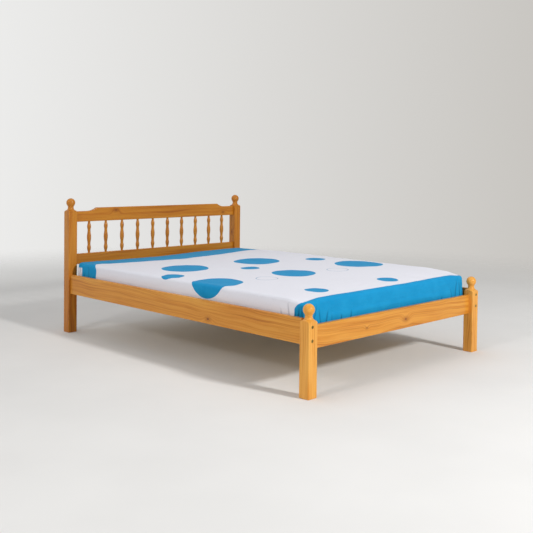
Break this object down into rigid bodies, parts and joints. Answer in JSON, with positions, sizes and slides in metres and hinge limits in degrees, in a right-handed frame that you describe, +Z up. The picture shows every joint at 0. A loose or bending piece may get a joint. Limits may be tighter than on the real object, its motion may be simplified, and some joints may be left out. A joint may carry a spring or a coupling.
{
  "type": "spindle bed",
  "caption": "Pine bed with a low foot: ball-topped square posts, turned-spindle headboard under a scooped crest rail, bolted side rails, slatted base, and a mattress in a spotted fitted sheet.",
  "frame": {"origin": "on the floor, under the middle of the bed's footprint", "axes": "+Z up; +Y along the bed from the foot to the headboard; +X to the right as seen from the foot"},
  "size_m": [1.43, 2.03, 0.822],
  "materials": {
    "lacquered_pine": "satin",
    "bare_pine": "matte",
    "bronzed_bolt": "satin",
    "zinc_steel": "satin",
    "ticking": "matte",
    "sheet_cotton": "matte"
  },
  "bodies": {
    "frame": {"head_post_left": "lacquered_pine", "head_post_right": "lacquered_pine", "foot_post_left": "lacquered_pine", "foot_post_right": "lacquered_pine", "side_rail_left": "lacquered_pine", "side_rail_right": "lacquered_pine", "foot_rail": "lacquered_pine", "lower_head_rail": "lacquered_pine", "crest_rail": "lacquered_pine", "slat_ledger_left": "bare_pine", "slat_ledger_right": "bare_pine", "spindle_01": "lacquered_pine", "spindle_02": "lacquered_pine", "spindle_03": "lacquered_pine", "spindle_04": "lacquered_pine", "spindle_05": "lacquered_pine", "spindle_06": "lacquered_pine", "spindle_07": "lacquered_pine", "spindle_08": "lacquered_pine", "spindle_09": "lacquered_pine", "spindle_10": "lacquered_pine", "slat_01": "bare_pine", "slat_02": "bare_pine", "slat_03": "bare_pine", "slat_04": "bare_pine", "slat_05": "bare_pine", "slat_06": "bare_pine", "slat_07": "bare_pine", "slat_08": "bare_pine", "slat_09": "bare_pine", "slat_10": "bare_pine", "slat_11": "bare_pine", "slat_12": "bare_pine", "slat_13": "bare_pine", "slat_14": "bare_pine", "foot_connector_bolts": "bronzed_bolt", "head_connector_bolts": "bronzed_bolt", "foot_barrel_nuts": "zinc_steel", "head_barrel_nuts": "zinc_steel", "ledger_screws": "zinc_steel", "slat_screws": "zinc_steel"},
    "mattress": {"mattress": "ticking", "fitted_sheet": "sheet_cotton"}
  },
  "joints": [
    {"name": "mattress_lift", "type": "slide", "parent": "frame", "child": "mattress", "axis": [0, 0, 1], "range_m": [0, 0.25]}
  ]
}
